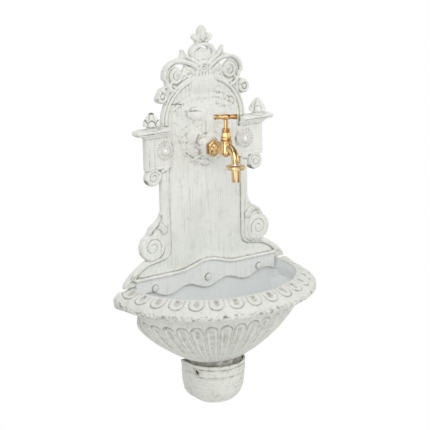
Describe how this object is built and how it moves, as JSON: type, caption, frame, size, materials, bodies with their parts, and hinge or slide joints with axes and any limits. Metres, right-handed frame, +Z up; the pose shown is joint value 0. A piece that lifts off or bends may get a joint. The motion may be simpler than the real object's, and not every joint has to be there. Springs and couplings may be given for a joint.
{
  "type": "wall fountain",
  "caption": "Cast wall fountain with a lion mask, scrolled backplate, half-round basin, drain cup and brass garden tap, in distressed antique white paint.",
  "frame": {"origin": "on the backplate's flat back, at the wall, on the centre line, 0.4 m above the foot of the drain cup", "axes": "+Z up, +Y into the wall, -Y is the front, +X to the right as seen from the front"},
  "size_m": [0.4, 0.205, 0.716],
  "materials": {
    "cast_paint": "matt antique white paint, rubbed and patinated in the recesses",
    "bolt_paint": "matt off-white paint over steel",
    "brass": "polished"
  },
  "bodies": {
    "fountain": {"backplate": "cast_paint", "basin": "cast_paint", "drain_cup": "cast_paint", "flange_bolt_left": "bolt_paint", "flange_bolt_middle": "bolt_paint", "flange_bolt_right": "bolt_paint", "tap_wall_flange": "brass", "tap_body": "brass", "tap_bonnet": "brass", "hose_nut": "brass", "hose_nozzle": "brass"},
    "spindle": {"tap_spindle": "brass"},
    "handle": {"tap_handle": "brass"}
  },
  "joints": [
    {"name": "spindle_rise", "type": "slide", "parent": "fountain", "child": "spindle", "axis": [0, 0, 1], "range_m": [0, 0.005]},
    {"name": "handle_turn", "type": "hinge", "parent": "spindle", "child": "handle", "pos_m": [0, -0.0765, 0.1594], "axis": [0, 0, 1], "range_deg": [0, 720]}
  ],
  "couplings": [
    {"joint": "spindle_rise", "follows": "handle_turn", "m_per_rad": 0.000397}
  ]
}
